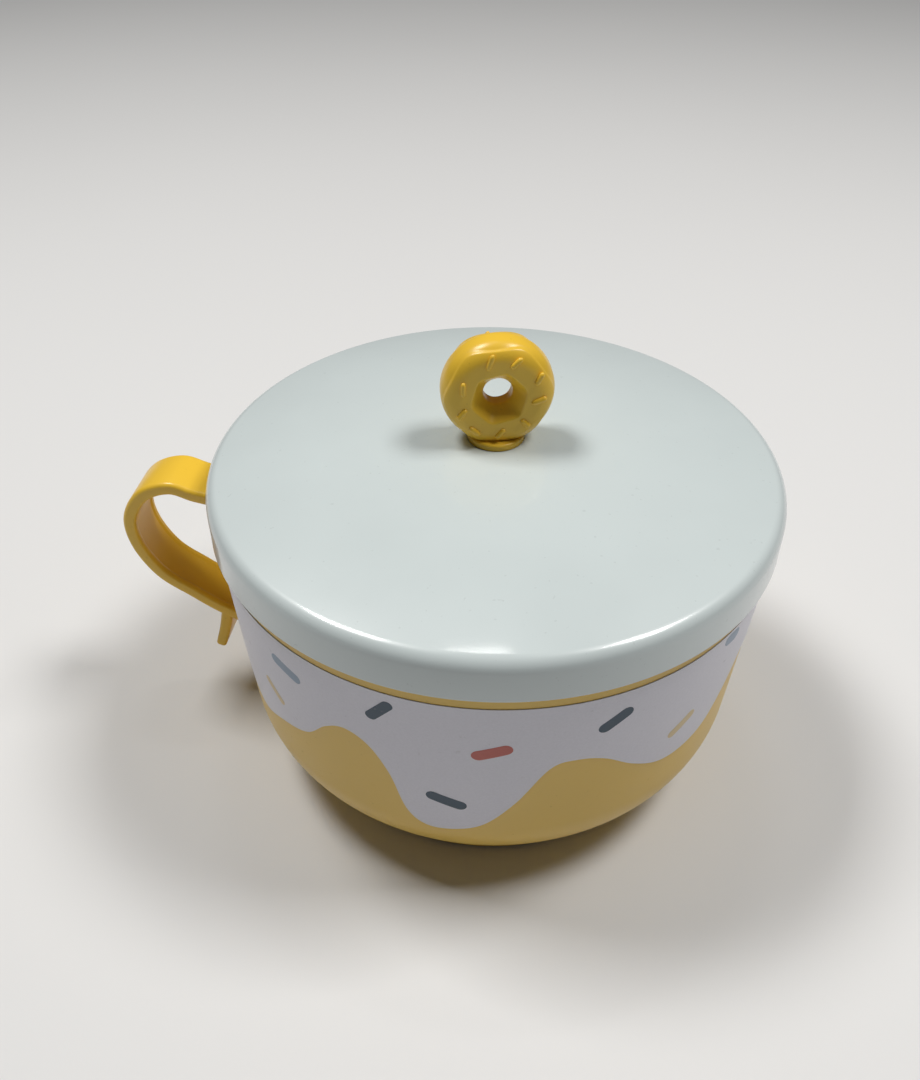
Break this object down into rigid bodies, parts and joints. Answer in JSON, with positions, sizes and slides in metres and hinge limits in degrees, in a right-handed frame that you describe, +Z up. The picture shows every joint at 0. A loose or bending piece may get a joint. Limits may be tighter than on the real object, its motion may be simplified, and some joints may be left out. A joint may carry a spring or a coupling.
{
  "type": "suction bowl",
  "caption": "Round toddler's bowl with a suction base, a lift-off domed lid with a donut-shaped knob, a ribbon cup handle and a printed icing band.",
  "frame": {"origin": "on the bowl's axis, at the table surface the suction cup's lip rests on", "axes": "+Z up along the bowl's axis; the handle points along -X; the front of the picture looks along +Y"},
  "size_m": [0.1676, 0.14, 0.1189],
  "materials": {
    "yellow_plastic": "satin moulded plastic",
    "printed_film": "printed film, satin",
    "mint_plastic": "glossy moulded plastic",
    "white_plastic": "moulded plastic",
    "liner_steel": "spun stainless steel",
    "screw_steel": "stainless steel",
    "silicone": "food-grade silicone, matte"
  },
  "bodies": {
    "bowl": {"outer_shell": "yellow_plastic", "icing_label": "printed_film", "base_ring": "yellow_plastic", "handle_loop": "yellow_plastic", "handle_screws": "screw_steel"},
    "suction": {"suction_cup": "silicone", "cup_retainer": "white_plastic"},
    "liner": {"steel_liner": "liner_steel", "liner_gasket": "silicone"},
    "lid": {"lid_shell": "mint_plastic", "lid_gasket": "silicone", "donut_knob": "yellow_plastic", "knob_seal": "silicone", "knob_screw": "screw_steel", "screw_cap": "mint_plastic"}
  },
  "joints": [
    {"name": "suction_press", "type": "slide", "parent": "bowl", "child": "suction", "axis": [0, 0, 1], "range_m": [0, 0.0008], "stiffness_N_per_m": 20000},
    {"name": "liner_lift", "type": "slide", "parent": "bowl", "child": "liner", "axis": [0, 0, 1], "range_m": [0, 0.09]},
    {"name": "lid_lift", "type": "slide", "parent": "liner", "child": "lid", "axis": [0, 0, 1], "range_m": [0, 0.05]}
  ]
}
